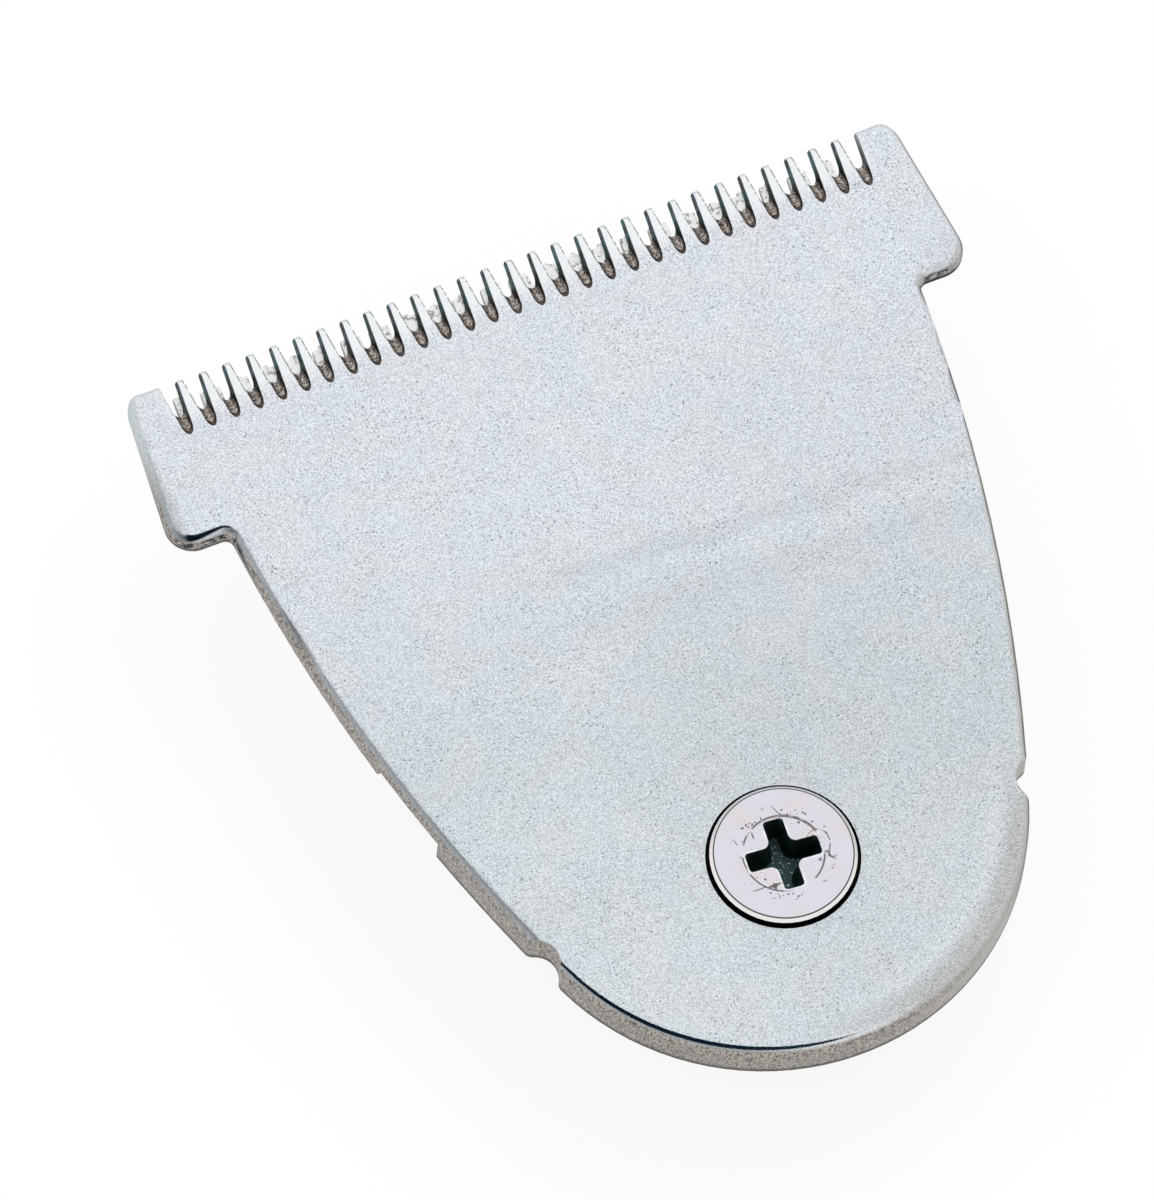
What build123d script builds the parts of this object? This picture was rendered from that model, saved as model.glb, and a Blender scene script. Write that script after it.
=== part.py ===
from build123d import *
from math import cos, radians, sin, sqrt, tan
import os

# A detachable trimmer blade set: a stamped comb plate, a cutter that slides behind it, the yoke that
# drives the cutter, a wire spring that presses it home, and the moulded carrier that one screw clamps
# to the plate. All sizes are in millimetres and degrees.
# X runs along the teeth, +Y points to the tooth tips, +Z is the outer face of the plate.
# The origin is on the carrier's rim, under the middle of the plate.
# A setback is a distance behind the tooth tips, a depth is a distance below the outer face.

# Comb plate outline
head_width = 32.1
head_flare = 0.73
head_depth = 6.83
tail_radius = 10.4
side_lean = 3.4
tip_corner_radius = 1.3
tip_break_radius = 0.5
shoulder_radius = 1.1
neck_radius = 0.35
ledge_flat = 0.9
notch_radius = 0.9
notch_depth = 0.5
notch_lip_radius = 0.4
notch_land = 0.05

# Comb plate section
plate_thickness = 1.7
edge_roll = 0.42
tip_grind = 0.3
tip_thickness = 0.45
land_angle = 1.8
groove_setback = 17.9
groove_width = 3.75
web_thickness = 0.5

# Ground gaps of the comb
comb_end_tooth = 1.4
comb_pitch = 0.983
comb_gap_depth = 2.43
comb_gap_root = 0.48
comb_gap_draft = 11
comb_gap_slope = 26
comb_tip_corner = 0.08

# Cutter
cutter_inset = 0.9
cutter_pitch = 1.172
cutter_setback = 0.62
cutter_thickness = 1.0
cutter_bar_depth = 4.6
cutter_depth = 11.2
cutter_heel_width = 19
cutter_heel_radius = 1.5
cutter_gap_depth = 2.0
cutter_gap_root = 0.6
cutter_gap_draft = 3
cutter_gap_slope = 50
cutter_tip_corner = 0.13
cutter_tip_thickness = 0.3
cutter_bevel_length = 1.7
cutter_end_margin = 0.3
relief_setback = 2.9
relief_length = 5.2
relief_depth = 0.12

# Stroke of the cutter
stroke = 2.2
rest_offset = -0.45
running_gap = 0.02
guide_gap = 0.08
stop_gap = 0.25

# Driver yoke on the cutter
flange_setback = 6.6
flange_length = 4.8
flange_thickness = 1.0
fork_gap = 2.6
fork_wall = 1.6
fork_length = 4.4
fork_rim_gap = 0.6
fork_round = 0.5
tongue_drop = 0.25
shoe_width = 6.8
peg_spacing = 9
peg_setback = 9.4
peg_radius = 1.0
peg_gap = 0.03
bead_setback = 8.2
bead_height = 0.4

# Wire spring
wire_diameter = 0.7
wire_bend = 1.2
spring_side_gap = 0.95
spring_end_setback = 7.4
spring_touch_gap = 0.03

# Carrier
carrier_height = 5.7
carrier_wall = 1.3
carrier_inset = 3.0
carrier_front_setback = 8.8
carrier_deck = 1.0
carrier_side_gap = 0.55
carrier_rim_chamfer = 0.3
arm_gap = 0.4
arm_nose_radius = 1.2
bulkhead_wall = 0.7
bulkhead_gap = 0.1
boss_radius = 3.5
boss_recess = 0.6
boss_rib_width = 0.9
boss_rib_height = 1.6
saddle_width = 1.2
clip_width = 2.4
clip_reach = 0.5
clip_height = 0.6
detent_setback = 13.5
detent_radius = 0.6
detent_proud = 0.4
detent_rim_gap = 0.9
detent_height = 2.0
hook_width = 6
hook_height = 1.2
hook_proud = 0.7

# Clamp screw and its insert
screw_behind_groove = 5.6
tail_behind_screw = 8.05
shank_diameter = 3.0
shank_gap = 0.15
screw_length = 5.5
screw_point = 0.35
head_diameter = 5.7
head_height = 0.7
head_bevel = 0.15
head_gap = 0.15
spot_depth = 0.35
recess_turn = -5
recess_span = 2.95
recess_arm = 0.82
recess_depth = 1.4
recess_taper = 9
recess_root_radius = 0.3
recess_end_radius = 0.12
coin_radius = 1.55
coin_depth = 0.05
insert_diameter = 4.4
insert_length = 3.6
insert_waist = 0.9
insert_waist_depth = 0.25
insert_gap = 0.03
thread_gap = 0.05

# Places that follow from the sizes above
groove_end = groove_setback + groove_width
screw_setback = groove_end + screw_behind_groove
plate_length = screw_setback + tail_behind_screw
tip_y = plate_length / 2
face_z = carrier_height + plate_thickness
through = 2 * plate_length
land_slope = tan(radians(land_angle))


def y_at(setback):
    return tip_y - setback


def z_at(depth):
    return face_z - depth


def land_depth(setback):
    return tip_thickness + setback * land_slope


# The cutter runs on a plane that falls away from the outer face towards the tail.
# On it, local Y is the setback and local Z points away from the plate.
land = Plane(
    origin=(0, tip_y, z_at(tip_thickness)),
    x_dir=(1, 0, 0),
    z_dir=(0, sin(radians(land_angle)), -cos(radians(land_angle))),
)
cutter_face = land.offset(running_gap)
cutter_back = land.offset(running_gap + cutter_thickness)


def flange_depth(setback):
    return land_depth(setback) + running_gap + cutter_thickness + flange_thickness


screw_y = y_at(screw_setback)
shank_hole = shank_diameter / 2 + shank_gap
half_fork = fork_gap / 2 + fork_wall
spring_x = half_fork + stroke / 2 + spring_side_gap + wire_diameter / 2
spring_depth = flange_depth(bead_setback) + bead_height + spring_touch_gap + wire_diameter / 2
half_flange = spring_x + wire_diameter / 2 + stroke / 2 + stop_gap
half_bay = spring_x + wire_diameter / 2 + carrier_side_gap
half_carrier = half_bay + carrier_wall
bulkhead_front = groove_end + bulkhead_gap
bulkhead_back = bulkhead_front + bulkhead_wall
crossbar_setback = bulkhead_back + spring_touch_gap + wire_diameter / 2
stop_x = shoe_width / 2 + stroke / 2 + stop_gap


def gap_half_width(root, draft, height):
    radius = root / 2
    slant = radians(draft)
    return radius * cos(slant) + (height - radius + radius * sin(slant)) * tan(slant)


# Section of the grinding wheel that cuts a gap: round at the bottom, opening at the draft angle.
def ground_gap(root, draft, height):
    radius = root / 2
    slant = radians(draft)
    side_x = radius * cos(slant)
    side_y = radius - radius * sin(slant)
    top_x = gap_half_width(root, draft, height)
    with BuildSketch() as section:
        with BuildLine():
            ThreePointArc((-side_x, side_y), (0, 0), (side_x, side_y))
            Polyline((side_x, side_y), (top_x, height), (-top_x, height), (-side_x, side_y))
        make_face()
    return section.sketch


# Flared mouth of a gap, which breaks the corners of the two teeth beside it. Local Y points out of the gap.
def gap_mouth(half_width, corner):
    outer = half_width + 2 * corner
    with BuildSketch() as mouth:
        with BuildLine():
            Polyline(
                (-outer, corner),
                (-half_width, -corner),
                (half_width, -corner),
                (outer, corner),
                close=True,
            )
        make_face()
    return mouth.sketch


def row(count, pitch):
    return [(i - (count - 1) / 2) * pitch for i in range(count)]


# Comb plate
comb_gaps = 1 + int((head_width - 2 * comb_end_tooth - comb_gap_root) / comb_pitch)
comb_gap_x = row(comb_gaps, comb_pitch)
comb_cut = radians(comb_gap_slope)
comb_cut_length = (comb_gap_depth + plate_thickness) / cos(comb_cut) + plate_thickness
comb_cut_height = comb_cut_length * sin(comb_cut) + plate_thickness
comb_mouth = gap_half_width(comb_gap_root, comb_gap_draft, comb_gap_depth * sin(comb_cut))
shoulder_x = head_width / 2 + head_flare
neck_point = Vector(shoulder_x - shoulder_radius - ledge_flat - neck_radius, y_at(head_depth))
# each side is one arc, from the neck, where it leans out a little, to where it meets the round tail
tail_center = Vector(0, y_at(plate_length - tail_radius))
neck_normal = Vector(cos(radians(side_lean)), -sin(radians(side_lean)))
reach = neck_point - tail_center
side_radius = (reach.length**2 - tail_radius**2) / 2 / (reach.dot(neck_normal) - tail_radius)
side_center = neck_point - neck_normal * side_radius
blend_normal = (tail_center - side_center).normalized()
blend_point = tail_center + blend_normal * tail_radius

# the blank is stamped a little long, so that its rolled front edge is ground away
blank_y = y_at(-tip_grind)
# arc length from the round tail to the middle of a notch
notch_reach = (notch_radius + notch_lip_radius) ** 2
notch_rise = (notch_radius - notch_depth + notch_lip_radius) ** 2
notch_before_tail = notch_land + sqrt(notch_reach - notch_rise)

near = 0.001


def corners(sketch, x, y):
    return [v for v in sketch.vertices() if abs(abs(v.X) - x) < near and abs(v.Y - y) < near]


with BuildPart() as comb_plate:
    with BuildSketch(Plane.XY.offset(face_z)) as outline:
        with BuildLine():
            RadiusArc((0, y_at(plate_length)), blend_point, -tail_radius)
            side = TangentArc(blend_point, neck_point, tangent=(-blend_normal.Y, blend_normal.X))
            Polyline(
                neck_point,
                (shoulder_x, y_at(head_depth)),
                (head_width / 2, blank_y),
                (0, blank_y),
            )
            mirror(about=Plane.YZ)
        make_face()
        fillet(corners(outline, head_width / 2, blank_y), tip_corner_radius)
        fillet(corners(outline, shoulder_x, y_at(head_depth)), shoulder_radius)
        fillet(corners(outline, neck_point.X, neck_point.Y), neck_radius)
    extrude(amount=-plate_thickness)
    fillet(comb_plate.faces().sort_by(Axis.Z)[-1].outer_wire().edges(), edge_roll)
    # the notches are punched later, through the rolled edge
    notch_edge = side.position_at(notch_before_tail, position_mode=PositionMode.LENGTH)
    notch_along = side.tangent_at(notch_before_tail, position_mode=PositionMode.LENGTH)
    notch_out = Vector(notch_along.Y, -notch_along.X)
    notch_center = notch_edge + notch_out * (notch_radius - notch_depth)
    with BuildSketch(Plane.XY.offset(face_z)) as notched:
        add(outline.sketch_local)
        before_notches = notched.vertices()
        with Locations((notch_center.X, notch_center.Y), (-notch_center.X, notch_center.Y)):
            Circle(notch_radius, mode=Mode.SUBTRACT)
        fillet(notched.vertices() - before_notches, notch_lip_radius)
    extrude(amount=-plate_thickness, mode=Mode.INTERSECT)
    # the front is ground straight, and its two corners are broken
    split(bisect_by=Plane.XZ.offset(-tip_y), keep=Keep.TOP)
    fillet(comb_plate.edges().filter_by(Axis.Z).group_by(Axis.Y)[-1], tip_break_radius)
    # the back: a ground land for the cutter, then a guide groove, then the full plate under the screw
    with BuildSketch(Plane.YZ):
        with BuildLine():
            Polyline(
                (y_at(-plate_thickness), z_at(land_depth(-plate_thickness))),
                (y_at(groove_setback), z_at(land_depth(groove_setback))),
                (y_at(groove_setback), z_at(web_thickness)),
                (y_at(groove_end), z_at(web_thickness)),
                (y_at(groove_end), 0),
                (y_at(-plate_thickness), 0),
                close=True,
            )
        make_face()
    extrude(amount=through, both=True, mode=Mode.SUBTRACT)
    # the gaps are ground in from the tips, each with a sloping floor that runs out on the outer face
    comb_gap_planes = [
        Plane(
            origin=(x, y_at(comb_gap_depth), face_z),
            x_dir=(-1, 0, 0),
            z_dir=(0, cos(comb_cut), -sin(comb_cut)),
        )
        for x in comb_gap_x
    ]
    with BuildSketch(*comb_gap_planes):
        add(ground_gap(comb_gap_root, comb_gap_draft, comb_cut_height))
    extrude(amount=comb_cut_length, mode=Mode.SUBTRACT)
    with BuildSketch(Plane.XY.offset(face_z)):
        with Locations(*[(x, tip_y) for x in comb_gap_x]):
            add(gap_mouth(comb_mouth, comb_tip_corner))
    extrude(amount=-plate_thickness, mode=Mode.SUBTRACT)
    with Locations((0, screw_y, face_z)):
        CounterBoreHole(shank_hole, head_diameter / 2 + head_gap, spot_depth)
comb_plate.part.label = "comb_plate"

# Cutter
cutter_room = head_width - stroke - 2 * (cutter_inset + cutter_end_margin)
cutter_teeth = 1 + int(cutter_room / cutter_pitch)
cutter_half = (cutter_teeth - 1) / 2 * cutter_pitch + cutter_end_margin
cutter_gap_x = row(cutter_teeth - 1, cutter_pitch)
cutter_cut = radians(cutter_gap_slope)
cutter_reach = cutter_gap_depth + cutter_thickness
cutter_cut_height = cutter_reach * sin(cutter_cut) + cutter_thickness
cutter_flare = cutter_gap_depth * sin(cutter_cut) * tan(radians(cutter_gap_draft))
cutter_mouth = cutter_gap_root / 2 + cutter_flare
cutter_heel = cutter_setback + cutter_depth
peg_places = [(rest_offset + side_sign * peg_spacing / 2, peg_setback) for side_sign in (-1, 1)]

with BuildPart() as cutter:
    with BuildSketch(cutter_face) as blank:
        with BuildLine():
            Polyline(
                (rest_offset - cutter_half, cutter_setback),
                (rest_offset + cutter_half, cutter_setback),
                (rest_offset + cutter_half, cutter_setback + cutter_bar_depth),
                (rest_offset + cutter_heel_width / 2, cutter_heel),
                (rest_offset - cutter_heel_width / 2, cutter_heel),
                (rest_offset - cutter_half, cutter_setback + cutter_bar_depth),
                close=True,
            )
        make_face()
        fillet(blank.vertices().group_by(Axis.Y)[1:], cutter_heel_radius)
    extrude(amount=cutter_thickness)
    # the tips are bevelled on the back, down to a thin edge
    tip_edge = cutter.edges().filter_by(Axis.X).group_by(Axis.Y)[-1].sort_by(Axis.Z)[0]
    tip_face = cutter.faces().sort_by(Axis.Y)[-1]
    chamfer(tip_edge, cutter_thickness - cutter_tip_thickness, cutter_bevel_length, reference=tip_face)
    # a shallow relief leaves two narrow bands that touch the comb
    with BuildSketch(cutter_face):
        with Locations((0, cutter_setback + relief_setback + relief_length / 2)):
            Rectangle(through, relief_length)
    extrude(amount=relief_depth, mode=Mode.SUBTRACT)
    cutter_gap_planes = [
        Plane(
            origin=cutter_face.from_local_coords((rest_offset + x, cutter_setback + cutter_gap_depth, 0)),
            x_dir=(-1, 0, 0),
            z_dir=cutter_face.y_dir * cos(cutter_cut) + cutter_face.z_dir * sin(cutter_cut),
        )
        for x in cutter_gap_x
    ]
    with BuildSketch(*cutter_gap_planes):
        Trapezoid(
            cutter_gap_root,
            cutter_cut_height,
            90 + cutter_gap_draft,
            align=(Align.CENTER, Align.MIN),
        )
    extrude(amount=2 * cutter_reach, both=True, mode=Mode.SUBTRACT)
    with BuildSketch(cutter_face):
        with Locations(*[Location((rest_offset + x, cutter_setback), 180) for x in cutter_gap_x]):
            add(gap_mouth(cutter_mouth, cutter_tip_corner))
    extrude(amount=cutter_thickness, mode=Mode.SUBTRACT)
    with BuildSketch(cutter_face):
        with Locations(*peg_places):
            Circle(peg_radius + peg_gap)
    extrude(amount=cutter_thickness, mode=Mode.SUBTRACT)
cutter.part.label = "cutter"

# Driver yoke: a flange staked to the cutter, a fork for the drive pin and a shoe in the plate's groove
flange_end = flange_setback + flange_length
fork_top = z_at(flange_depth(flange_setback) - flange_thickness / 2)
tongue_top = flange_depth(cutter_heel) - flange_thickness + tongue_drop
tongue_bottom = tongue_top + flange_thickness

with BuildPart() as cutter_driver:
    with BuildSketch(cutter_back):
        with Locations((rest_offset, flange_setback + flange_length / 2)):
            RectangleRounded(2 * half_flange, flange_length, cutter_heel_radius)
    extrude(amount=flange_thickness)
    with BuildSketch(cutter_back):
        with Locations(*peg_places):
            Circle(peg_radius)
    extrude(amount=-cutter_thickness)
    with BuildSketch(Plane.XY.offset(fork_rim_gap)):
        with Locations((rest_offset, y_at(flange_setback + fork_length / 2))):
            with GridLocations(fork_gap + fork_wall, 0, 2, 1):
                Rectangle(fork_wall, fork_length)
    extrude(amount=fork_top - fork_rim_gap)
    fillet(cutter_driver.faces().group_by(Axis.Z)[0].edges().filter_by(Axis.Y), fork_round)
    with BuildSketch(Plane.YZ.offset(rest_offset)):
        with BuildLine():
            Polyline(
                (y_at(flange_end - fork_wall), z_at(tongue_top)),
                (y_at(groove_setback + guide_gap), z_at(tongue_top)),
                (y_at(groove_setback + guide_gap), z_at(web_thickness + guide_gap)),
                (y_at(groove_end - guide_gap), z_at(web_thickness + guide_gap)),
                (y_at(groove_end - guide_gap), z_at(tongue_bottom)),
                (y_at(flange_end - fork_wall), z_at(tongue_bottom)),
                close=True,
            )
        make_face()
    extrude(amount=shoe_width / 2, both=True)
    with BuildSketch(Plane.YZ.offset(rest_offset)):
        with Locations((y_at(bead_setback), z_at(flange_depth(bead_setback)))):
            Circle(bead_height)
    extrude(amount=half_flange - cutter_heel_radius, both=True)
cutter_driver.part.label = "cutter_driver"

# Wire spring: a staple whose arms press on the bead under the driver's flange
with BuildPart() as pressure_spring:
    with BuildLine():
        spring_line = FilletPolyline(
            (-spring_x, y_at(spring_end_setback), z_at(spring_depth)),
            (-spring_x, y_at(crossbar_setback), z_at(spring_depth)),
            (spring_x, y_at(crossbar_setback), z_at(spring_depth)),
            (spring_x, y_at(spring_end_setback), z_at(spring_depth)),
            radius=wire_bend,
        )
    with BuildSketch(Plane(origin=spring_line @ 0, z_dir=spring_line % 0)):
        Circle(wire_diameter / 2)
    sweep()
    chamfer(pressure_spring.faces().filter_by(GeomType.PLANE).edges(), wire_diameter / 4)
pressure_spring.part.label = "pressure_spring"

# Carrier: a stadium-shaped tub, open at the front for the drive, clamped behind the plate
carrier_rear = plate_length - carrier_inset
carrier_round_y = y_at(carrier_rear - half_carrier)
wire_top = spring_depth - wire_diameter / 2
wire_bottom = spring_depth + wire_diameter / 2
arm_top = wire_top - spring_touch_gap + arm_gap
window_inner = spring_x - wire_bend
ceiling = plate_thickness + carrier_deck


def tub(half_width):
    front = y_at(carrier_front_setback)
    with BuildSketch() as stadium:
        with BuildLine():
            RadiusArc((half_width, carrier_round_y), (-half_width, carrier_round_y), half_width)
            Polyline(
                (half_width, carrier_round_y),
                (half_width, front),
                (-half_width, front),
                (-half_width, carrier_round_y),
            )
        make_face()
    return stadium.sketch


with BuildPart() as blade_carrier:
    with BuildSketch() as footprint:
        add(tub(half_carrier))
        fillet(corners(footprint, half_carrier, y_at(carrier_front_setback)), arm_nose_radius)
    extrude(amount=carrier_height)
    chamfer(blade_carrier.faces().sort_by(Axis.Z)[0].edges(), carrier_rim_chamfer)
    # the drive bay between the arms, right through
    with BuildSketch():
        with Locations((0, y_at(bulkhead_front))):
            Rectangle(2 * half_bay, through, align=(Align.CENTER, Align.MIN))
    extrude(amount=carrier_height, mode=Mode.SUBTRACT)
    # the hollow behind the bulkhead, open at the rim
    with BuildSketch():
        add(tub(half_bay))
        with Locations((0, y_at(bulkhead_back))):
            Rectangle(through, through, align=(Align.CENTER, Align.MIN), mode=Mode.SUBTRACT)
    extrude(amount=z_at(ceiling), mode=Mode.SUBTRACT)
    # the screw boss, a rib from it to each wall, and ribs to the bulkhead that the spring's crossbar
    # bears against
    with BuildSketch(Plane.XY.offset(boss_recess)):
        with Locations((0, screw_y)):
            Circle(boss_radius)
    extrude(amount=z_at(ceiling) - boss_recess)
    with BuildSketch(Plane.XY.offset(z_at(ceiling))):
        with Locations((0, screw_y)):
            Rectangle(2 * half_bay, boss_rib_width)
    extrude(amount=-boss_rib_height)
    with BuildSketch(Plane.XY.offset(z_at(ceiling))):
        with Locations((0, screw_y)):
            with GridLocations(2 * boss_radius - 2 * saddle_width, 0, 2, 1):
                Rectangle(
                    saddle_width, screw_setback - bulkhead_back, align=(Align.CENTER, Align.MIN)
                )
    extrude(amount=ceiling - wire_top + spring_touch_gap)
    # a lip on the bulkhead keeps the crossbar from dropping out
    with BuildSketch(Plane.XY.offset(z_at(wire_bottom + spring_touch_gap))):
        with Locations((0, y_at(bulkhead_back))):
            Rectangle(clip_width, clip_reach, align=(Align.CENTER, Align.MAX))
    extrude(amount=-clip_height)
    # windows in the bulkhead for the spring's arms, which bear on their sills
    with BuildSketch(Plane.XY.offset(z_at(ceiling))):
        with Locations((0, y_at(bulkhead_front))):
            with GridLocations(half_bay + window_inner, 0, 2, 1):
                Rectangle(
                    half_bay - window_inner, bulkhead_wall, align=(Align.CENTER, Align.MAX)
                )
    extrude(amount=ceiling - wire_bottom - spring_touch_gap, mode=Mode.SUBTRACT)
    # the arms are low under the driver's flange and rise to keys that sit in the plate's groove
    with BuildSketch(Plane.YZ):
        with BuildLine():
            Polyline(
                (y_at(carrier_front_setback) + carrier_wall, z_at(arm_top)),
                (y_at(groove_setback + guide_gap), z_at(arm_top)),
                (y_at(groove_setback + guide_gap), face_z),
                (y_at(carrier_front_setback) + carrier_wall, face_z),
                close=True,
            )
        make_face()
    extrude(amount=through, both=True, mode=Mode.SUBTRACT)
    with BuildSketch(Plane.XY.offset(z_at(plate_thickness))):
        with Locations((0, y_at(groove_setback + groove_width / 2))):
            with GridLocations(stop_x + half_carrier, 0, 2, 1):
                Rectangle(half_carrier - stop_x, groove_width - 2 * guide_gap)
    extrude(amount=plate_thickness - web_thickness - guide_gap)
    # ridges on the arms and a lip at the tail, which snap into the trimmer's nose
    with BuildSketch(Plane.XY.offset(detent_rim_gap)):
        with Locations((0, y_at(detent_setback))):
            with GridLocations(2 * (half_carrier + detent_proud - detent_radius), 0, 2, 1):
                Circle(detent_radius)
    extrude(amount=detent_height)
    with BuildSketch(Plane.XY.offset(detent_rim_gap)):
        with Locations((0, carrier_round_y)):
            Circle(half_carrier + hook_proud)
            Circle(half_bay, mode=Mode.SUBTRACT)
            Rectangle(hook_width, through, align=(Align.CENTER, Align.MAX), mode=Mode.INTERSECT)
    extrude(amount=hook_height)
    with Locations((0, screw_y, z_at(plate_thickness))):
        Hole(shank_hole)
    with BuildSketch(Plane.XY.offset(boss_recess)):
        with Locations((0, screw_y)):
            Circle(insert_diameter / 2 + insert_gap)
    extrude(amount=insert_length, mode=Mode.SUBTRACT)
blade_carrier.part.label = "blade_carrier"

# Clamp screw: a flat head with a bevelled rim and a cross recess, in a shallow spot face
screw_axis = Axis((0, screw_y, 0), (0, 0, 1))
seat_z = z_at(spot_depth)
head_top = seat_z + head_height
screw_tip = seat_z - screw_length
shank_radius = shank_diameter / 2

with BuildPart() as clamp_screw:
    with BuildSketch(Plane.XZ.offset(-screw_y)):
        with BuildLine():
            Polyline(
                (0, screw_tip),
                (shank_radius - screw_point, screw_tip),
                (shank_radius, screw_tip + screw_point),
                (shank_radius, seat_z),
                (head_diameter / 2, seat_z),
                (head_diameter / 2, head_top - head_bevel),
                (head_diameter / 2 - head_bevel, head_top),
                (0, head_top),
                close=True,
            )
        make_face()
    revolve(axis=screw_axis)
    with BuildSketch(Plane.XY.offset(head_top)):
        with Locations((0, screw_y)):
            Circle(coin_radius)
    extrude(amount=-coin_depth, mode=Mode.SUBTRACT)
    with BuildSketch(Plane.XY.offset(head_top)) as cross:
        with Locations(Location((0, screw_y), recess_turn)):
            Rectangle(recess_span, recess_arm)
            Rectangle(recess_arm, recess_span)
        fillet(cross.vertices().sort_by_distance((0, screw_y, 0))[:4], recess_root_radius)
        fillet(cross.vertices().sort_by_distance((0, screw_y, 0))[-8:], recess_end_radius)
    extrude(amount=-recess_depth, taper=recess_taper, mode=Mode.SUBTRACT)
clamp_screw.part.label = "clamp_screw"

# Threaded insert, waisted so that it can't be pulled out of the boss
insert_radius = insert_diameter / 2
insert_bore = shank_radius + thread_gap
insert_top = boss_recess + insert_length
waist_bottom = boss_recess + (insert_length - insert_waist) / 2

with BuildPart() as threaded_insert:
    with BuildSketch(Plane.XZ.offset(-screw_y)):
        with BuildLine():
            Polyline(
                (insert_bore, boss_recess),
                (insert_radius, boss_recess),
                (insert_radius, waist_bottom),
                (insert_radius - insert_waist_depth, waist_bottom),
                (insert_radius - insert_waist_depth, waist_bottom + insert_waist),
                (insert_radius, waist_bottom + insert_waist),
                (insert_radius, insert_top),
                (insert_bore, insert_top),
                close=True,
            )
        make_face()
    revolve(axis=screw_axis)
threaded_insert.part.label = "threaded_insert"

pieces = [
    comb_plate,
    cutter,
    cutter_driver,
    pressure_spring,
    blade_carrier,
    clamp_screw,
    threaded_insert,
]
os.makedirs("parts", exist_ok=True)
for piece in pieces:
    export_step(piece.part, f"parts/{piece.part.label}.step")
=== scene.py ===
import math

import bpy
from mathutils import Matrix, Vector


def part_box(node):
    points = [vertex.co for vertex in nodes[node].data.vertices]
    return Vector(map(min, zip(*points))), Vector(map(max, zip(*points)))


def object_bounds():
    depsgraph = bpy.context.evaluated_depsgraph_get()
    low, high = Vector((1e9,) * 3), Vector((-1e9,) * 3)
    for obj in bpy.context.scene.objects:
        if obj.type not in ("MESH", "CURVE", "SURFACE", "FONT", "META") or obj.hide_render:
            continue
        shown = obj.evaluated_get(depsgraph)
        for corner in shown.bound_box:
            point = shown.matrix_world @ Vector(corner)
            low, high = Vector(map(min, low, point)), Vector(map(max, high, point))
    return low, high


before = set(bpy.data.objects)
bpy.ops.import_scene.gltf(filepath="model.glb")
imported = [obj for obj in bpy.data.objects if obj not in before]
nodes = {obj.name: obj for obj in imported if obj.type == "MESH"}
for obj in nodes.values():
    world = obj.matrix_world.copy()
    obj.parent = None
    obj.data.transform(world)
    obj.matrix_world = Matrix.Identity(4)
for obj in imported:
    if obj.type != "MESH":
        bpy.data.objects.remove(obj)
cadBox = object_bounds()
scene = bpy.context.scene
mm = 0.001
print("blade: frame loaded,", len(nodes), "nodes")

# places on the part, in millimetres, that the finishes are laid out from
plateLow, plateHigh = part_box("comb_plate")
screwLow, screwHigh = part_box("clamp_screw")
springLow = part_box("pressure_spring")[0]
tipY = plateHigh.y / mm
tailY = plateLow.y / mm
faceZ = plateHigh.z / mm
headSideX = plateHigh.x / mm
screwY = (screwLow.y + screwHigh.y) / 2 / mm
headZ = screwHigh.z / mm
headRadius = screwHigh.x / mm
crossbarY = springLow.y / mm


# helpers for shader nodes
def tone(red, green, blue):  # a colour as seen on screen, 0 to 255, turned into linear light
    shares = [c / 255 for c in (red, green, blue)]
    return tuple(c / 12.92 if c <= 0.04045 else ((c + 0.055) / 1.055) ** 2.4 for c in shares) + (1.0,)


def feed(tree, value, socket):
    if isinstance(value, bpy.types.NodeSocket):
        tree.links.new(value, socket)
    else:
        socket.default_value = value


def put(tree, kind, inputs=None, **settings):
    node = tree.nodes.new("ShaderNode" + kind)
    for name, value in settings.items():
        setattr(node, name, value)
    for name, value in (inputs or {}).items():
        feed(tree, value, node.inputs[name])
    return node


def calc(tree, operation, *values):
    return put(tree, "Math", dict(enumerate(values)), operation=operation).outputs[0]


def product(tree, *masks):
    result = masks[0]
    for mask in masks[1:]:
        result = calc(tree, "MULTIPLY", result, mask)
    return result


def opposite(tree, mask):
    return calc(tree, "SUBTRACT", 1.0, mask)


def fade(tree, value, start, end):  # 0 at start, 1 at end, soft between
    inputs = {"Value": value, "From Min": start, "From Max": end}
    return put(tree, "MapRange", inputs, interpolation_type="SMOOTHSTEP").outputs[0]


def spread(tree, value, low, high):  # a 0 to 1 value stretched to a range
    return put(tree, "MapRange", {"Value": value, "To Min": low, "To Max": high}).outputs[0]


def around(tree, value, middle, swing):  # a 0 to 1 value turned into a swing about a middle
    return spread(tree, value, middle - swing, middle + swing)


def between(tree, share, low, high):
    return put(tree, "Mix", {0: share, 2: low, 3: high}).outputs[0]


def mix(tree, share, under, over, mode="MIX"):
    node = put(tree, "Mix", data_type="RGBA", blend_type=mode)
    feed(tree, share, node.inputs[0])
    feed(tree, under, node.inputs[6])
    feed(tree, over, node.inputs[7])
    return node.outputs[2]


def blobs(tree, place, size, detail=2.0):  # noise with blobs of about that many millimetres
    scale = calc(tree, "DIVIDE", 1.0, size) if isinstance(size, bpy.types.NodeSocket) else 1 / size
    return put(tree, "TexNoise", {"Vector": place, "Scale": scale, "Detail": detail}).outputs[0]


def stretched(tree, place, factors):  # the place with each axis scaled by its own factor
    return put(tree, "VectorMath", {0: place, 1: factors}, operation="MULTIPLY").outputs[0]


def shifted(tree, place, offset):
    return put(tree, "VectorMath", {0: place, 1: offset}, operation="ADD").outputs[0]


def inPlan(tree, place):  # the place pressed flat, for distances as seen from above
    return stretched(tree, place, (1.0, 1.0, 0.0))


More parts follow.
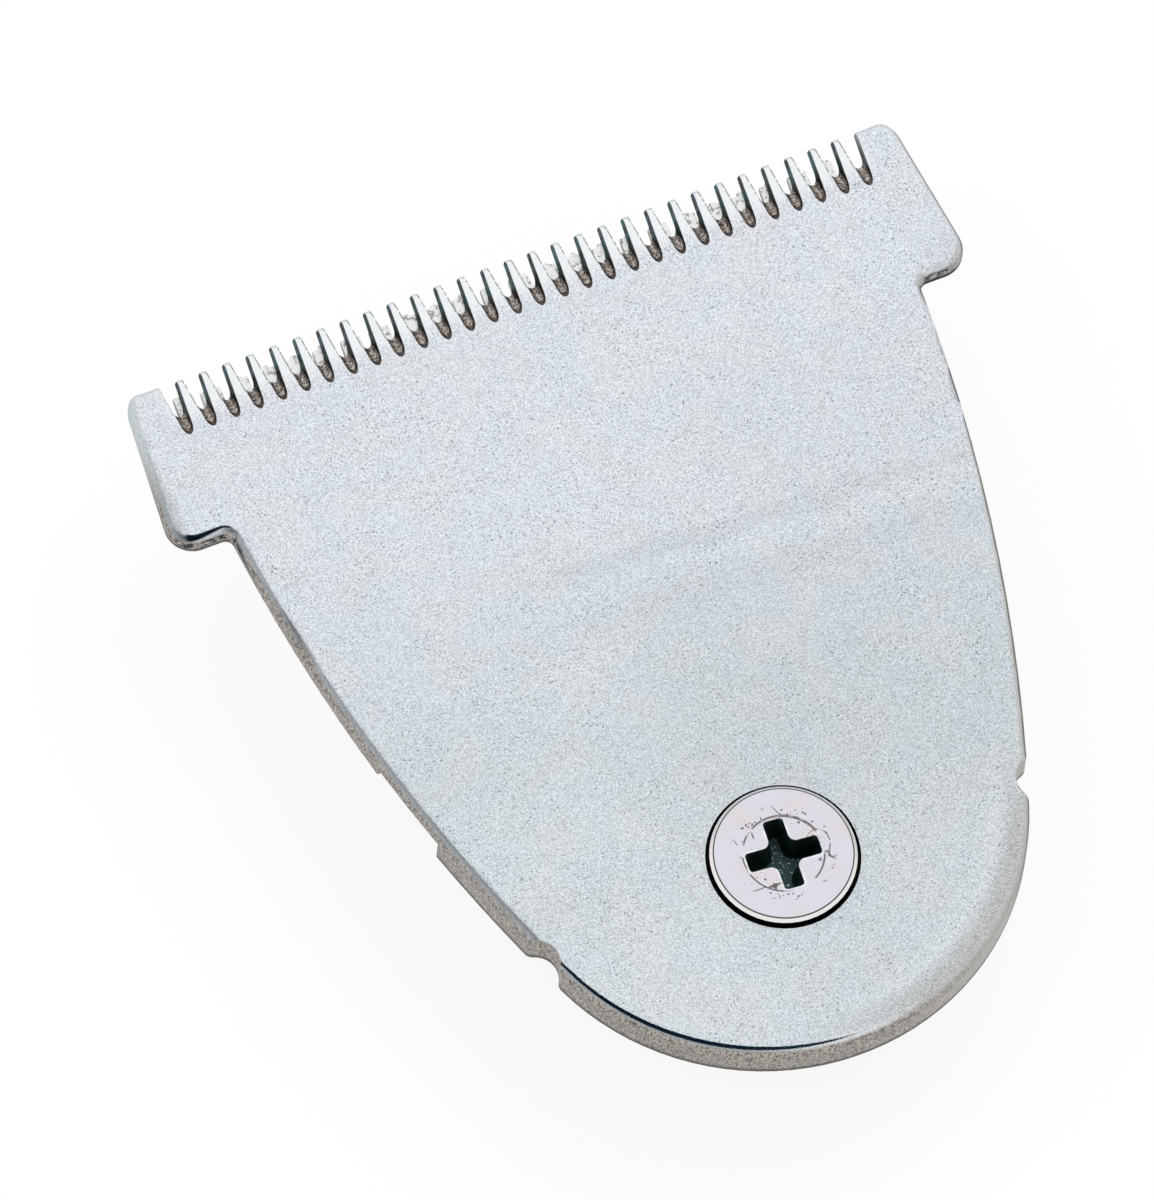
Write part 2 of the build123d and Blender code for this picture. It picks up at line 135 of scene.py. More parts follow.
def distance(tree, place, center):
    return put(tree, "VectorMath", {0: place, 1: center}, operation="DISTANCE").outputs["Value"]


def zone(tree, part, limits):  # where every measure named in the limits is past them
    return product(tree, *(fade(tree, part[name], start, end) for name, start, end in limits))


def spots(tree, place, look):  # blobs of a size, cut off softly between two levels
    return fade(tree, blobs(tree, place, look["size"], look["detail"]), *look["fade"])


def newGroup(name, inputs, outputs):
    tree = bpy.data.node_groups.new(name, "ShaderNodeTree")
    for socketName, kind in inputs.items():
        tree.interface.new_socket(socketName, in_out="INPUT", socket_type="NodeSocket" + kind)
    for socketName, kind in outputs.items():
        tree.interface.new_socket(socketName, in_out="OUTPUT", socket_type="NodeSocket" + kind)
    return tree, tree.nodes.new("NodeGroupInput").outputs, tree.nodes.new("NodeGroupOutput").inputs


def useGroup(tree, group, inputs=None):
    node = tree.nodes.new("ShaderNodeGroup")
    node.node_tree = group
    for name, value in (inputs or {}).items():
        feed(tree, value, node.inputs[name])
    return node.outputs


def newMaterial(name):
    material = bpy.data.materials.new(name)
    material.use_nodes = True
    tree = material.node_tree
    return material, tree, tree.nodes["Principled BSDF"]


def bump(tree, shader, height, depth):  # depth in millimetres
    node = put(tree, "Bump", {"Height": height, "Strength": 1.0, "Distance": depth * mm})
    feed(tree, node.outputs[0], shader.inputs["Normal"])


def finishNode(nodeName, material):
    slots = nodes[nodeName].data.materials
    slots.clear()
    slots.append(material)
    print("finish:", material.name, "on", nodeName)


# shared effects
def partPlaceGroup():  # where a point is on the part, in millimetres, and which way its surface looks
    outputs = {"Place": "Vector", "X": "Float", "Y": "Float", "Z": "Float"}
    outputs.update({"Rightward": "Float", "Sideways": "Float", "Forward": "Float", "Up": "Float"})
    tree, _, result = newGroup("partPlace", {}, outputs)
    coords = put(tree, "TexCoord")
    scaled = put(tree, "VectorMath", {0: coords.outputs["Object"], "Scale": 1 / mm}, operation="SCALE")
    axes = put(tree, "SeparateXYZ", {0: scaled.outputs[0]})
    looks = put(tree, "SeparateXYZ", {0: coords.outputs["Normal"]})
    feed(tree, scaled.outputs[0], result["Place"])
    for name in ("X", "Y", "Z"):
        feed(tree, axes.outputs[name], result[name])
    feed(tree, looks.outputs["X"], result["Rightward"])
    feed(tree, calc(tree, "ABSOLUTE", looks.outputs["X"]), result["Sideways"])
    feed(tree, looks.outputs["Y"], result["Forward"])
    feed(tree, looks.outputs["Z"], result["Up"])
    return tree


def steelMottleGroup():  # cloudy tone, fine grain, dark pits and bright sparkles of tumbled steel
    inputs = {"Place": "Vector", "Cloud Size": "Float", "Grain Size": "Float"}
    inputs.update({"Pit Share": "Float", "Sparkle Share": "Float"})
    outputs = {"Clouds": "Float", "Grain": "Float", "Pits": "Float", "Sparkle": "Float"}
    tree, given, result = newGroup("steelMottle", inputs, outputs)
    place, size = given["Place"], given["Grain Size"]
    feed(tree, blobs(tree, place, given["Cloud Size"], 3.0), result["Clouds"])
    feed(tree, blobs(tree, place, size), result["Grain"])
    # pits are a little larger than the grain, lie apart from it, and are fainter outside their clusters
    pitGrowth = 1.3
    pitOffset = (31.0, 17.0, 5.0)
    pitSoft = 0.04
    loneStrength = 0.35
    clusterLook = {"size": 1.6, "detail": 2.0, "fade": (0.35, 0.6)}
    pitSize = calc(tree, "MULTIPLY", size, pitGrowth)
    pitNoise = blobs(tree, shifted(tree, place, pitOffset), pitSize, 0.0)
    pitStart = calc(tree, "ADD", given["Pit Share"], pitSoft)
    pits = fade(tree, pitNoise, pitStart, given["Pit Share"])
    clusters = spread(tree, spots(tree, place, clusterLook), loneStrength, 1.0)
    feed(tree, product(tree, pits, clusters), result["Pits"])
    sparkOffset = (7.0, 43.0, 11.0)
    sparkSoft = 0.06
    sparkNoise = blobs(tree, shifted(tree, place, sparkOffset), size, 0.0)
    sparkEnd = opposite(tree, given["Sparkle Share"])
    sparkStart = calc(tree, "SUBTRACT", sparkEnd, sparkSoft)
    feed(tree, fade(tree, sparkNoise, sparkStart, sparkEnd), result["Sparkle"])
    return tree


def toolLinesGroup():  # fine lines left by grinding, drawing or turning
    inputs = {"Along": "Float", "Across": "Float", "Length": "Float", "Width": "Float"}
    tree, given, result = newGroup("toolLines", inputs, {"Lines": "Float"})
    along = calc(tree, "DIVIDE", given["Along"], given["Length"])
    across = calc(tree, "DIVIDE", given["Across"], given["Width"])
    where = put(tree, "CombineXYZ", {"X": along, "Y": across})
    lines = put(tree, "TexNoise", {"Vector": where.outputs[0], "Scale": 1.0, "Detail": 3.0})
    feed(tree, lines.outputs[0], result["Lines"])
    return tree


def mouldedSkinGroup():  # the fine eroded texture of a mould, and faint mottling of the plastic
    mottleSize = 2.5
    inputs = {"Place": "Vector", "Texture Size": "Float"}
    tree, given, result = newGroup("mouldedSkin", inputs, {"Texture": "Float", "Mottle": "Float"})
    feed(tree, blobs(tree, given["Place"], given["Texture Size"], 3.0), result["Texture"])
    feed(tree, blobs(tree, given["Place"], mottleSize), result["Mottle"])
    return tree


partPlace = partPlaceGroup()
steelMottle = steelMottleGroup()
toolLines = toolLinesGroup()
mouldedSkin = mouldedSkinGroup()
print("effects: place, mottle, tool lines and moulded skin ready")


# comb plate: tumbled satin steel, bright teeth, painted shade in the gaps, grey sheared edges, and painted
# light and shade along its edges
# a zone names what is measured, where it begins to show and where it shows in full; lengths are in
# millimetres, while Rightward, Sideways, Forward and Up tell which way the surface looks, -1 to 1
plateLook = {
    # sizes of the stamping
    "gapDepth": 2.43,
    "toothPitch": 0.983,
    "gapHalf": 0.198,
    "gapWiden": 0.0852,
    "rowHalf": 14.5,
    "ledgeSetback": 6.83,
    "neckHalf": 14.2,
    "headFlare": 0.61,
    "tailRadius": 10.4,
    "thickness": 1.7,
    "ledgeThickness": 0.67,
    # tones from head to tail, painted shade in place of the reflections of a slight bend, and where each
    # takes over
    "headTone": tone(221, 227, 234),
    "bandTone": tone(216, 223, 229),
    "bandFade": (8.0, 2.0),
    "waistTone": tone(210, 218, 223),
    "waistFade": (2.0, -5.0),
    "tailTone": tone(215, 223, 228),
    "tailFade": (-5.0, -12.0),
    "bandSlope": 0.138,
    "bandWobble": 4.0,
    "warmShift": (1.03, 1.005, 0.985, 1.0),
    "warmOffset": (3.0, 9.0, 1.0),
    "warmPatches": {"size": 2.2, "detail": 2.0, "fade": (0.4, 0.65)},
    # painted shade along a faint crease across the middle, and uneven painted shade about it
    "creaseSlope": 0.07,
    "creaseY": 4.2,
    "creaseSway": 0.6,
    "swaySize": 4.0,
    "secondBehind": 2.3,
    "shadeZones": (
        (0.075, (("OffCrease", 0.65, 0.1), ("X", -6.0, -2.0))),  # crease
        (0.03, (("OffSecond", 0.8, 0.2), ("X", -8.0, -3.0))),  # fainter line behind it
        (0.05, (("PastCrease", -0.9, -1.8), ("X", -5.0, 2.0))),  # right half behind the crease
        (0.035, (("PastCrease", 0.0, 0.8), ("X", 0.0, 6.0), ("Y", 11.5, 9.0))),  # right of the head
        (-0.035, (("X", -3.0, -6.0), ("Y", -2.0, -4.0), ("Y", -8.5, -6.5))),  # paler left of the tail
    ),
    # grain, pits and sparkles
    "cloudSize": 5.0,
    "grainSize": 0.07,
    "grainTint": (0.28, 1.7),
    "grainDepth": 0.003,
    "pitShare": 0.25,
    "pitTone": tone(112, 120, 126),
    "pitStrength": 0.75,
    "sparkleShare": 0.24,
    "sparkleTone": tone(250, 252, 252),
    "sparkleStrength": 0.5,
    # painted highlight, then painted shade, along the crowned right edge of the tail
    "crownZone": (("X", -3.0, 4.0), ("Y", -8.5, -12.0)),
    "crownTone": tone(226, 231, 234),
    "crownFade": (2.2, 1.0),
    "crownStrength": 0.5,
    "edgeTone": tone(186, 187, 187),
    "edgeFade": (1.35, 0.55),
    "edgeStrength": 0.85,
    # painted shade along the rounded left side of the head, and on the face by the right ledge
    "shoulderShadeTone": tone(186, 192, 194),
    "shoulderZone": (("PastLedge", -0.4, 0.0), ("FromTip", 1.6, 4.5)),
    "shoulderGrowth": (("FromTip", 2.2, 6.23),),
    "shoulderReach": (0.3, 0.95),
    "shoulderEdge": 0.2,
    "shoulderStrength": 0.8,
    "rightLedgeShadeZone": (("PastLedge", 2.4, 0.5), ("PastLedge", -0.4, 0.0)),
    "rightLedgeShadeStrength": 0.35,
    # teeth
    "toothTone": tone(246, 249, 250),
    "toothZone": (("PastGapEnd", 0.2, 1.215), ("PastRow", 0.6, -0.4)),
    "toothStrength": 0.85,
    "hairlineTone": tone(120, 126, 128),
    "hairlineZone": (("PastGapEnd", 0.7, 1.1), ("PastRow", 0.6, -0.4)),
    "hairlineInset": 0.02,
    "hairlineFade": (0.04, 0.02),
    "hairlineBreaks": {"size": 0.16, "detail": 2.0, "fade": (0.36, 0.5)},
    "hairlineStrength": 0.8,
    # gaps between the teeth: speckled floors, and painted shade on their walls, deep in and along their rims
    "gapZone": (("PastGapEnd", -0.1, 0.0), ("PastRow", 0.2, 0.0), ("Up", 0.96, 0.93), ("Up", -0.6, -0.3)),
    "gapFloorTone": tone(218, 208, 199),
    "gapFloorDark": tone(98, 86, 80),
    "gapSpecks": {"size": 0.09, "detail": 3.0, "fade": (0.36, 0.62)},
    "gapSideZone": (("Sideways", 0.72, 0.94),),
    "gapWallShadeTone": tone(40, 94, 100),
    "gapWallShadeDark": tone(20, 30, 34),
    "gapWallZone": (("PastGapEnd", 0.7, 1.2),),
    "gapShadePatches": {"size": 0.5, "detail": 2.0, "fade": (0.4, 0.6)},
    "gapRimShadeTone": tone(52, 46, 44),
    "gapRimShadeZone": (("Depth", 0.15, 0.09),),
    "gapRimShadeStrength": 0.85,
    "tipZone": (("FromTip", 0.5, 0.35),),
    "toothEdgeZone": (("PastGapEnd", 0.3, 1.0), ("Depth", 0.07, 0.02)),
    # sheared wall, painted lighter where it faces right, with a painted shadow along its foot
    "wallZone": (("WallDepth", 0.04, 0.2), ("Up", 0.99, 0.96)),
    "wallLight": tone(192, 186, 179),
    "wallDark": tone(112, 107, 102),
    "shearStretch": (1.0, 1.0, 0.7),
    "shearSize": 0.085,
    "shearFade": (0.3, 0.68),
    "scoreTone": tone(84, 79, 76),
    "scoreStretch": (0.5, 0.5, 1.6),
    "scores": {"size": 0.3, "detail": 3.0, "fade": (0.64, 0.72)},
    "scoreStrength": 0.7,
    # dark tone of the tears on the ledge walls, and of the painted reflection lines along the ledges
    "ledgeTearAndReflectionTone": tone(20, 32, 42),
    "ledgeZone": (("PastNeck", -0.2, 0.0), ("Forward", -0.3, -0.5)),
    "tornStretch": (1.0, 1.0, 2.0),
    "torn": {"size": 0.35, "detail": 3.0, "fade": (0.5, 0.58)},
    "tornStrength": 0.8,
    "headWallTone": tone(204, 212, 214),
    "headWallZone": (("PastLedge", 1.5, 5.33),),
    "headWallStrength": 0.9,
    "rightWallTone": tone(186, 185, 182),
    "rightWallZone": (("Rightward", 0.05, 0.6),),
    "rightWallStrength": 0.75,
    "footTone": tone(70, 67, 65),
    "footZone": (("AboveFoot", 0.34, 0.12),),
    "footStrength": 0.75,
    "headFootZone": (("PastLedge", -0.3, -0.1),),
    "neckZone": (("Y", 4.6, 5.4), ("Y", 10.2, 9.4), ("Rightward", 0.0, 0.2)),
    "neckDrop": 0.2,
    # painted shadow: a dark line on walls that face right, just under the roll
    "burrShadowTone": tone(86, 86, 85),
    "burrShadowZone": (("Rightward", 0.68, 0.88), ("WallDepth", 0.06, 0.14)),
    "burrShadowStrength": 0.9,
    # rolled edge above the wall: painted highlight at the tail, painted shade where it faces left or right
    "rollPaintedLightTone": tone(230, 233, 235),
    "leftRollShadeTone": tone(158, 164, 168),
    "leftRollZone": (("Rightward", -0.08, -0.3),),
    "rightRollShadeTone": tone(194, 194, 192),
    "rightRollZone": (("Rightward", 0.02, 0.15),),
    "tailRollZone": (("Forward", -0.05, -0.2),),
    "rollZone": (("Up", 0.998, 0.93),),
    "rollStrength": 0.8,
    "rollGrain": 0.8,
    # painted dark reflections along the two ledges
    "leftLineZone": (
        ("LeftOfNeck", 0.0, 0.2),
        ("LeftOfNeck", 2.1, 1.8),
        ("PastLedge", 0.6, 0.5),
        ("Forward", -0.06, -0.12),
    ),
    "leftLineGrowth": (("LeftOfNeck", 0.0, 1.8),),
    "leftLineTurn": (-0.16, -0.5),
    "leftLineSoft": 0.14,
    "rightLineZone": (("RightOfNeck", -0.2, 0.0), ("Forward", -0.3, -0.5), ("AboveFoot", 0.3, 0.18)),
    # ground back, and painted shadow in the seat round the screw head
    "backTone": tone(186, 188, 190),
    "backZone": (("Up", -0.5, -0.8),),
    "backLines": {"Length": 6.0, "Width": 0.06},
    "backTint": (0.75, 1.1),
    "seatShadowTone": tone(22, 20, 20),
    "seatShadowZone": (("PastHead", 0.3, 0.2), ("Depth", 0.01, 0.06)),
    # roughness
    "faceRoughness": 0.36,
    "roughnessSwing": 0.1,
    "rollRoughness": 0.42,
    "rollRoughZone": (("Up", 0.999, 0.98),),
    "polishRoughness": 0.1,
    "polishZone": (("Y", -10.3, -10.6), ("X", 2.0, -1.0)),
    "wallRoughness": 0.5,
}


def plateMeasures(tree, look):  # where a point is on the plate, counted from its tips, ledges, neck and face
    part = dict(useGroup(tree, partPlace).items())
    x, y = part["X"], part["Y"]
    fromMiddle = calc(tree, "ABSOLUTE", x)
    part["FromTip"] = calc(tree, "SUBTRACT", tipY, y)
    part["PastGapEnd"] = calc(tree, "SUBTRACT", y, tipY - look["gapDepth"])
    part["PastLedge"] = calc(tree, "SUBTRACT", y, tipY - look["ledgeSetback"])
    part["PastRow"] = calc(tree, "SUBTRACT", fromMiddle, look["rowHalf"])
    part["PastNeck"] = calc(tree, "SUBTRACT", fromMiddle, look["neckHalf"])
    part["LeftOfNeck"] = calc(tree, "SUBTRACT", -look["neckHalf"], x)
    part["RightOfNeck"] = calc(tree, "SUBTRACT", x, look["neckHalf"])
    part["Depth"] = calc(tree, "SUBTRACT", faceZ, part["Z"])
    onHead = zone(tree, part, look["headFootZone"])
    footDepth = spread(tree, onHead, look["thickness"], look["ledgeThickness"])
    part["AboveFoot"] = calc(tree, "SUBTRACT", footDepth, part["Depth"])
    # the roll of the right neck has long facets, so its wall is counted from lower down
    dropped = product(tree, zone(tree, part, look["neckZone"]), look["neckDrop"])
    part["WallDepth"] = calc(tree, "SUBTRACT", part["Depth"], dropped)
    fromScrew = distance(tree, part["Place"], (0, screwY, faceZ))
    part["PastHead"] = calc(tree, "SUBTRACT", fromScrew, headRadius)
    return part


def plateShade(tree, look, part):  # painted shade along a faint crease across the middle, and uneven painted shade about it
    sway = around(tree, blobs(tree, part["Place"], look["swaySize"]), 0.0, look["creaseSway"])
    across = calc(tree, "ADD", calc(tree, "MULTIPLY_ADD", part["X"], look["creaseSlope"], part["Y"]), sway)
    ahead = calc(tree, "SUBTRACT", across, look["creaseY"])
    fromSecond = calc(tree, "ADD", ahead, look["secondBehind"])
    part["PastCrease"] = ahead
    part["OffCrease"] = calc(tree, "ABSOLUTE", ahead)
    part["OffSecond"] = calc(tree, "ABSOLUTE", fromSecond)
    shade = 0.0
    for strength, limits in look["shadeZones"]:
        shade = calc(tree, "MULTIPLY_ADD", zone(tree, part, limits), strength, shade)
    return opposite(tree, shade)


def plateTones(tree, look, part, clouds):  # painted shade in soft tones from head to tail, in place of a slight bend's reflections, warmer in patches
    wobble = around(tree, clouds, 0.0, look["bandWobble"])
    along = calc(tree, "ADD", calc(tree, "MULTIPLY_ADD", part["X"], look["bandSlope"], part["Y"]), wobble)
    face = look["headTone"]
    for name in ("band", "waist", "tail"):
        face = mix(tree, fade(tree, along, *look[name + "Fade"]), face, look[name + "Tone"])
    patches = spots(tree, shifted(tree, part["Place"], look["warmOffset"]), look["warmPatches"])
    warm = mix(tree, patches, (1, 1, 1, 1), look["warmShift"])
    face = mix(tree, 1.0, face, warm, "MULTIPLY")
    return mix(tree, 1.0, face, plateShade(tree, look, part), "MULTIPLY")


def tailEdgeLightAndShade(tree, look, part, face):  # painted highlight, then painted shade, along the tail's crowned right edge
    reach = distance(tree, inPlan(tree, part["Place"]), (0, tailY + look["tailRadius"], 0))
    inside = calc(tree, "SUBTRACT", look["tailRadius"], reach)
    onRight = zone(tree, part, look["crownZone"])
    for name in ("crown", "edge"):
        share = product(tree, fade(tree, inside, *look[name + "Fade"]), onRight, look[name + "Strength"])
        face = mix(tree, share, face, look[name + "Tone"])
    return face


def headShoulderShade(tree, look, part, face):  # painted shade along the head's left side, wider towards its shoulder, and on the face by the right ledge
    lean = product(tree, part["PastLedge"], look["headFlare"] / look["ledgeSetback"])
    fromSide = calc(tree, "SUBTRACT", calc(tree, "ADD", part["X"], headSideX), lean)
    reach = spread(tree, zone(tree, part, look["shoulderGrowth"]), *look["shoulderReach"])
    nearSide = fade(tree, fromSide, reach, look["shoulderEdge"])
    shoulderShade = product(tree, nearSide, zone(tree, part, look["shoulderZone"]), look["shoulderStrength"])
    face = mix(tree, shoulderShade, face, look["shoulderShadeTone"])
    onRight = fade(tree, part["X"], look["neckHalf"], headSideX)
    rightLedgeShade = product(tree, zone(tree, part, look["rightLedgeShadeZone"]), onRight, look["rightLedgeShadeStrength"])
    return mix(tree, rightLedgeShade, face, look["shoulderShadeTone"])


def paleTeeth(tree, look, part, face):  # bright towards the tips, a broken hairline along each right side
    # paler towards the tips
    paler = product(tree, zone(tree, part, look["toothZone"]), look["toothStrength"])
    face = mix(tree, paler, face, look["toothTone"])
    halfPitch = look["toothPitch"] / 2
    fromGap = calc(tree, "WRAP", calc(tree, "SUBTRACT", part["X"], halfPitch), halfPitch, -halfPitch)
    halfGap = calc(tree, "MULTIPLY_ADD", part["PastGapEnd"], look["gapWiden"], look["gapHalf"])
    fromEdge = calc(tree, "ADD", calc(tree, "ADD", fromGap, halfGap), look["hairlineInset"])
    hairline = product(
        tree,
        fade(tree, calc(tree, "ABSOLUTE", fromEdge), *look["hairlineFade"]),
        spots(tree, part["Place"], look["hairlineBreaks"]),
        zone(tree, part, look["hairlineZone"]),
        look["hairlineStrength"],
    )
    return mix(tree, hairline, face, look["hairlineTone"])


def plateFace(tree, look, part, mottle, grain):  # outer face, from broad tones down to pits and hairlines
    face = plateTones(tree, look, part, mottle["Clouds"])
    face = tailEdgeLightAndShade(tree, look, part, face)
    face = headShoulderShade(tree, look, part, face)
    face = mix(tree, 1.0, face, grain, "MULTIPLY")
    face = mix(tree, product(tree, mottle["Pits"], look["pitStrength"]), face, look["pitTone"])
    face = mix(tree, product(tree, mottle["Sparkle"], look["sparkleStrength"]), face, look["sparkleTone"])
    return paleTeeth(tree, look, part, face)


def plateRoll(tree, look, part, grain):  # rolled edge: dull painted shade on the left and right, a bright painted highlight at the tail
    headWall = product(tree, zone(tree, part, look["headWallZone"]), look["headWallStrength"])
    leftTone = mix(tree, headWall, look["leftRollShadeTone"], look["headWallTone"])
    facingLeft = zone(tree, part, look["leftRollZone"])
    rollPaintedLightTone = mix(tree, facingLeft, look["rollPaintedLightTone"], leftTone)
    rollPaintedLightTone = mix(tree, zone(tree, part, look["rightRollZone"]), rollPaintedLightTone, look["rightRollShadeTone"])
    rollPaintedLightTone = mix(tree, look["rollGrain"], rollPaintedLightTone, grain, "MULTIPLY")
    sides = calc(tree, "MAXIMUM", facingLeft, zone(tree, part, look["tailRollZone"]))
    return rollPaintedLightTone, product(tree, zone(tree, part, look["rollZone"]), sides, look["rollStrength"])


def plateWall(tree, look, part, shear):  # sheared grain with scores and tears, painted lighter where it faces right, and a painted shadow along its foot
    place = part["Place"]
    wallTone = mix(tree, fade(tree, shear, *look["shearFade"]), look["wallDark"], look["wallLight"])
    scores = spots(tree, stretched(tree, place, look["scoreStretch"]), look["scores"])
    wallTone = mix(tree, product(tree, scores, look["scoreStrength"]), wallTone, look["scoreTone"])
    torn = spots(tree, stretched(tree, place, look["tornStretch"]), look["torn"])
    torn = product(tree, torn, zone(tree, part, look["ledgeZone"]), look["tornStrength"])
    wallTone = mix(tree, torn, wallTone, look["ledgeTearAndReflectionTone"])
    for name in ("headWall", "rightWall", "foot"):
        share = product(tree, zone(tree, part, look[name + "Zone"]), look[name + "Strength"])
        wallTone = mix(tree, share, wallTone, look[name + "Tone"])
    return wallTone


def ledgeReflectionLines(tree, look, part):  # painted dark reflections: on the left in the roll, on the right low on the wall
    lineEnd = spread(tree, zone(tree, part, look["leftLineGrowth"]), *look["leftLineTurn"])
    lineStart = calc(tree, "SUBTRACT", lineEnd, look["leftLineSoft"])
    beforeEnd = fade(tree, part["Forward"], lineStart, lineEnd)
    leftLine = product(tree, zone(tree, part, look["leftLineZone"]), beforeEnd)
    return calc(tree, "MAXIMUM", leftLine, zone(tree, part, look["rightLineZone"]))


def plateGaps(tree, look, part, colour):  # speckled floors of the gaps, with painted shade on their walls, deep in and along their rims
    place = part["Place"]
    floorTone = mix(tree, spots(tree, place, look["gapSpecks"]), look["gapFloorDark"], look["gapFloorTone"])
    # painted shade on the gap walls, in patches, darker brown deep in towards the root
    wallTone = mix(tree, spots(tree, place, look["gapShadePatches"]), look["gapWallShadeDark"], look["gapWallShadeTone"])
    wallTone = mix(tree, zone(tree, part, look["gapWallZone"]), look["gapRimShadeTone"], wallTone)
    side = zone(tree, part, look["gapSideZone"])
    gapTone = mix(tree, side, floorTone, wallTone)
    # painted shade along the rims of the gaps
    rim = product(tree, zone(tree, part, look["gapRimShadeZone"]), look["gapRimShadeStrength"])
    gapTone = mix(tree, rim, gapTone, look["gapRimShadeTone"])
    onTip = product(tree, zone(tree, part, look["tipZone"]), opposite(tree, side))
    onEdge = product(tree, side, zone(tree, part, look["toothEdgeZone"]))
    colour = mix(tree, onEdge, colour, look["toothTone"])
    inGap = product(tree, zone(tree, part, look["gapZone"]), opposite(tree, onTip), opposite(tree, onEdge))
    return mix(tree, inGap, colour, gapTone)


def plateRoughness(tree, look, part, grain, wall):  # satin face, dull wall, polished roll at the tail
    rough = around(tree, grain, look["faceRoughness"], look["roughnessSwing"])
    polished = zone(tree, part, look["polishZone"])
    rollRough = spread(tree, polished, look["rollRoughness"], look["polishRoughness"])
    onRoll = product(tree, zone(tree, part, look["rollRoughZone"]), opposite(tree, wall))
    return between(tree, wall, between(tree, onRoll, rough, rollRough), look["wallRoughness"])


def plateSteel(look):
    material, tree, shader = newMaterial("plateSteel")
    part = plateMeasures(tree, look)
    mottle = useGroup(
        tree,
        steelMottle,
        {
            "Place": part["Place"],
            "Cloud Size": look["cloudSize"],
            "Grain Size": look["grainSize"],
            "Pit Share": look["pitShare"],
            "Sparkle Share": look["sparkleShare"],
        },
    )
    grain = spread(tree, mottle["Grain"], *look["grainTint"])
    shear = blobs(tree, stretched(tree, part["Place"], look["shearStretch"]), look["shearSize"])
    colour = plateFace(tree, look, part, mottle, grain)
    rollPaintedLightTone, onRoll = plateRoll(tree, look, part, grain)
    colour = mix(tree, onRoll, colour, rollPaintedLightTone)
    wall = zone(tree, part, look["wallZone"])
    colour = mix(tree, wall, colour, plateWall(tree, look, part, shear))
    # painted shadow: a dark line on walls that face right, under the roll
    burrShadow = product(tree, zone(tree, part, look["burrShadowZone"]), look["burrShadowStrength"])
    colour = mix(tree, burrShadow, colour, look["burrShadowTone"])
    # painted dark reflection lines along the ledges
    colour = mix(tree, ledgeReflectionLines(tree, look, part), colour, look["ledgeTearAndReflectionTone"])
    grinding = {"Along": part["X"], "Across": part["Y"], **look["backLines"]}
    lines = useGroup(tree, toolLines, grinding)["Lines"]
    backTone = mix(tree, 1.0, look["backTone"], spread(tree, lines, *look["backTint"]), "MULTIPLY")
    colour = mix(tree, zone(tree, part, look["backZone"]), colour, backTone)
    colour = plateGaps(tree, look, part, colour)
    # painted shadow in the gap round the screw head, down in its seat
    colour = mix(tree, zone(tree, part, look["seatShadowZone"]), colour, look["seatShadowTone"])
    feed(tree, colour, shader.inputs["Base Color"])
    feed(tree, plateRoughness(tree, look, part, mottle["Grain"], wall), shader.inputs["Roughness"])
    shader.inputs["Metallic"].default_value = 1.0
    height = calc(tree, "ADD", mottle["Grain"], product(tree, shear, wall))
    bump(tree, shader, height, look["grainDepth"])
    return material


finishNode("comb_plate", plateSteel(plateLook))


# cutter: ground steel with lines along the teeth, stained towards the tips
cutterLook = {
    "tone": tone(224, 222, 218),
    "tipTone": tone(238, 240, 239),
    "tipFade": (4.0, 2.5),
    "frontFade": (-0.3, 0.3),
    # painted shade on the side walls
    "wallTone": tone(104, 92, 84),
    "flatFade": (0.3, 0.6),
    "stainTone": tone(122, 108, 98),
    "stains": {"size": 0.17, "detail": 3.0, "fade": (0.54, 0.64)},
    "stainStrength": 0.7,
    "lines": {"Length": 5.0, "Width": 0.05},
    "lineTint": (0.8, 1.1),
    "lineDepth": 0.004,
    "roughness": 0.3,
    "roughnessSwing": 0.1,
}


def cutterSteel(look):
    material, tree, shader = newMaterial("cutterSteel")
    part = useGroup(tree, partPlace)
    lines = useGroup(tree, toolLines, {"Along": part["X"], "Across": part["Y"], **look["lines"]})["Lines"]
    colour = mix(tree, 1.0, look["tone"], spread(tree, lines, *look["lineTint"]), "MULTIPLY")
    fromTip = calc(tree, "SUBTRACT", tipY, part["Y"])
    onFront = fade(tree, part["Up"], *look["frontFade"])
    nearTips = product(tree, fade(tree, fromTip, *look["tipFade"]), onFront)
    colour = mix(tree, nearTips, colour, look["tipTone"])
    stain = product(tree, spots(tree, part["Place"], look["stains"]), nearTips, look["stainStrength"])
    colour = mix(tree, stain, colour, look["stainTone"])
    # painted shade: the side walls darker than the flat faces
    flat = fade(tree, calc(tree, "ABSOLUTE", part["Up"]), *look["flatFade"])
    colour = mix(tree, opposite(tree, flat), colour, look["wallTone"])
    feed(tree, colour, shader.inputs["Base Color"])
    rough = around(tree, lines, look["roughness"], look["roughnessSwing"])
    feed(tree, rough, shader.inputs["Roughness"])
    shader.inputs["Metallic"].default_value = 1.0
    bump(tree, shader, lines, look["lineDepth"])
    return material


finishNode("cutter", cutterSteel(cutterLook))


# driver: natural acetal, slightly waxy
driverLook = {
    "tone": tone(236, 233, 222),
    "mottleTone": tone(222, 217, 202),
    "mottleFade": (0.4, 0.7),
    "textureSize": 0.12,
    "textureTint": (0.9, 1.1),
    "textureDepth": 0.006,
    "roughness": 0.42,
    "roughnessSwing": 0.1,
}

# carrier: black moulding with an eroded texture
carrierLook = {
    "tone": tone(36, 36, 38),
    "mottleTone": tone(48, 48, 50),
    "mottleFade": (0.4, 0.7),
    "textureSize": 0.09,
    "textureTint": (0.9, 1.1),
    "textureDepth": 0.012,
    "roughness": 0.55,
    "roughnessSwing": 0.1,
}


